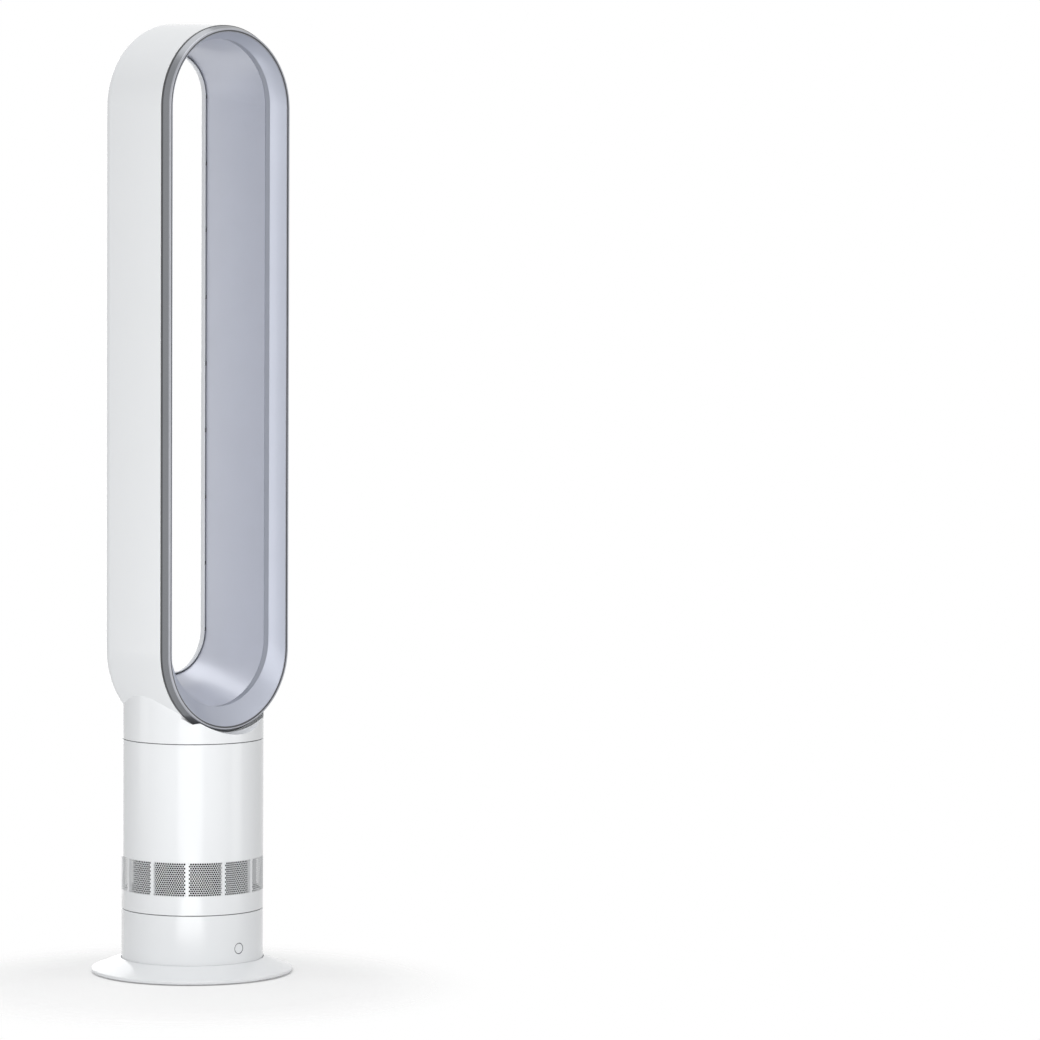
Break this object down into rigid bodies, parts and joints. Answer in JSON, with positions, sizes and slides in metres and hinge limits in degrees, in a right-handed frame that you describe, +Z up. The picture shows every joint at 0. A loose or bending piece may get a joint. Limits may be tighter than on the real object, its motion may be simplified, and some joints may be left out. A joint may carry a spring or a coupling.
{
  "type": "bladeless fan",
  "caption": "Free-standing bladeless tower fan: a tall open oval loop on a round column with an air inlet band, on a low disc stand.",
  "frame": {"origin": "on the floor, on the axis of the column and the stand", "axes": "+Z up along the column's axis, -Y the way the air leaves the loop, +X to the right of someone who faces the fan"},
  "size_m": [0.214, 0.214, 1.007],
  "materials": {
    "white_shell": "satin gloss",
    "silver_coat": "silver coat, satin",
    "bezel_grey": "satin",
    "grey_plastic": "moulded, matte",
    "light_plastic": "moulded, matte",
    "natural_nylon": "moulded, matte",
    "blade_plastic": "moulded, satin",
    "plated_steel": "zinc plated",
    "plate_steel": "powder coat",
    "spring_steel": "black phosphate",
    "bearing_steel": "polished",
    "lamination_steel": "pressed sheets",
    "magnet": "coated",
    "copper_wire": "enamelled",
    "soft_rubber": "matte",
    "foam": "open cell foam",
    "circuit_board": "solder resist",
    "component_black": "moulded",
    "capacitor_sleeve": "shrink sleeve",
    "transformer_tape": "wound tape",
    "lead_jacket": "matte"
  },
  "bodies": {
    "base": {"stand_cover": "white_shell", "stand_weight_plate": "plate_steel", "rubber_feet": "soft_rubber", "stand_screws": "plated_steel", "bottom_cover": "light_plastic", "bottom_cover_screws": "plated_steel", "base_housing": "white_shell", "cable_gland": "soft_rubber", "gland_nut": "grey_plastic", "power_board": "circuit_board", "board_screws": "plated_steel", "board_capacitors": "capacitor_sleeve", "transformer": "transformer_tape", "board_lead": "lead_jacket", "button_bezel": "bezel_grey", "button_switch": "component_black", "button_board": "circuit_board", "bearing_plate": "grey_plastic", "bearing_plate_screws": "plated_steel", "slide_ring": "natural_nylon", "pivot_clip": "spring_steel", "oscillation_motor": "plated_steel", "oscillation_motor_screws": "plated_steel"},
    "button": {"power_button": "white_shell", "switch_plunger": "natural_nylon"},
    "pinion": {"drive_pinion": "natural_nylon", "oscillation_shaft": "plated_steel"},
    "tower": {"turntable": "grey_plastic", "ring_gear": "natural_nylon", "ring_gear_screws": "plated_steel", "casing_screws": "plated_steel", "main_casing": "white_shell", "inlet_mesh_panels": "white_shell", "lower_foam": "foam", "upper_foam": "foam", "inlet_bell": "grey_plastic", "impeller_housing": "grey_plastic", "housing_mounts": "soft_rubber", "inlet_seal": "foam", "motor_bucket": "grey_plastic", "bucket_cap": "grey_plastic", "diffuser": "grey_plastic", "motor_stator": "lamination_steel", "motor_coils": "copper_wire", "motor_bearings": "bearing_steel", "motor_board": "circuit_board", "motor_lead": "lead_jacket", "neck_collar": "grey_plastic", "neck_seal": "soft_rubber", "loop_shell": "white_shell", "loop_inner_ring": "silver_coat", "loop_front_ring": "silver_coat", "slit_spacers": "grey_plastic", "flow_divider": "light_plastic"},
    "impeller": {"impeller": "blade_plastic", "motor_shaft": "plated_steel", "rotor_magnet": "magnet", "impeller_nut": "plated_steel"}
  },
  "joints": [
    {"name": "oscillation", "type": "hinge", "parent": "base", "child": "tower", "pos_m": [0, 0, 0.055], "axis": [0, 0, 1], "range_deg": [-35, 35]},
    {"name": "pinion_spin", "type": "hinge", "parent": "base", "child": "pinion", "pos_m": [0, 0.0336, 0.06], "axis": [0, 0, 1], "range_deg": [-140, 140]},
    {"name": "impeller_spin", "type": "hinge", "parent": "tower", "child": "impeller", "pos_m": [0, 0, 0.15], "axis": [0, 0, 1], "continuous": true},
    {"name": "button_press", "type": "slide", "parent": "base", "child": "button", "axis": [0, 1, 0], "range_m": [0, 0.001], "stiffness_N_per_m": 300}
  ],
  "couplings": [
    {"joint": "pinion_spin", "follows": "oscillation", "ratio": 4}
  ]
}
